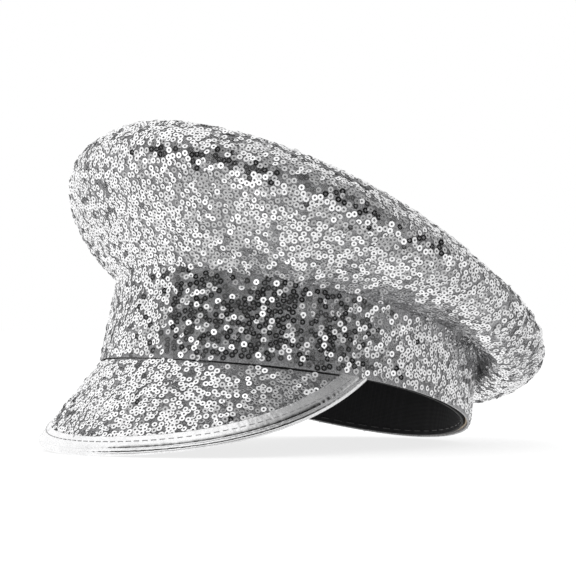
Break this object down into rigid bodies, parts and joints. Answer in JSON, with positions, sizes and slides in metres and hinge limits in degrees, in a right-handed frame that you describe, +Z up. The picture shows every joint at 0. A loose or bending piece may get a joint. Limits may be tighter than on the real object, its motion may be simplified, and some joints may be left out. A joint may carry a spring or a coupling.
{
  "type": "peaked sequin party hat",
  "caption": "Peaked party hat: sequinned crown and band over stiffeners, black lining and sweatband, curved peak with a bound edge.",
  "frame": {"origin": "on the surface it rests on, under the middle of the hat's bounding box", "axes": "+Z up, -Y towards the peak, +X towards the wearer's left; the hat rests on its peak's front edge and the back of its band, so it leans back 12.7 degrees"},
  "size_m": [0.2282, 0.2824, 0.1573],
  "materials": {
    "sequin_fabric": "silver sequins on grey mesh",
    "silver_binding": "metallic silver coated leatherette",
    "black_lining": "plain black woven lining",
    "sweatband_fabric": "black twill tape",
    "interlining": "grey foam-backed felt",
    "stiffener_board": "thin sheet plastic",
    "hoop_wire": "spring wire",
    "thread": "sewing thread"
  },
  "bodies": {
    "root": {"crown_top_panel": "sequin_fabric", "crown_front_panel": "sequin_fabric", "crown_back_panel": "sequin_fabric", "crown_top_interlining": "interlining", "crown_front_interlining": "interlining", "crown_back_interlining": "interlining", "front_stay": "stiffener_board", "crown_side_lining": "black_lining", "crown_top_lining": "black_lining", "crown_hoop": "hoop_wire", "hoop_joiner": "hoop_wire", "band_cover": "sequin_fabric", "band_stiffener": "stiffener_board", "sweatband": "sweatband_fabric", "peak_top_cover": "sequin_fabric", "peak_board": "stiffener_board", "peak_under_cover": "black_lining", "peak_joining_tape": "black_lining", "peak_binding": "silver_binding", "binding_stitching": "thread", "sweatband_stitching": "thread"}
  },
  "joints": []
}
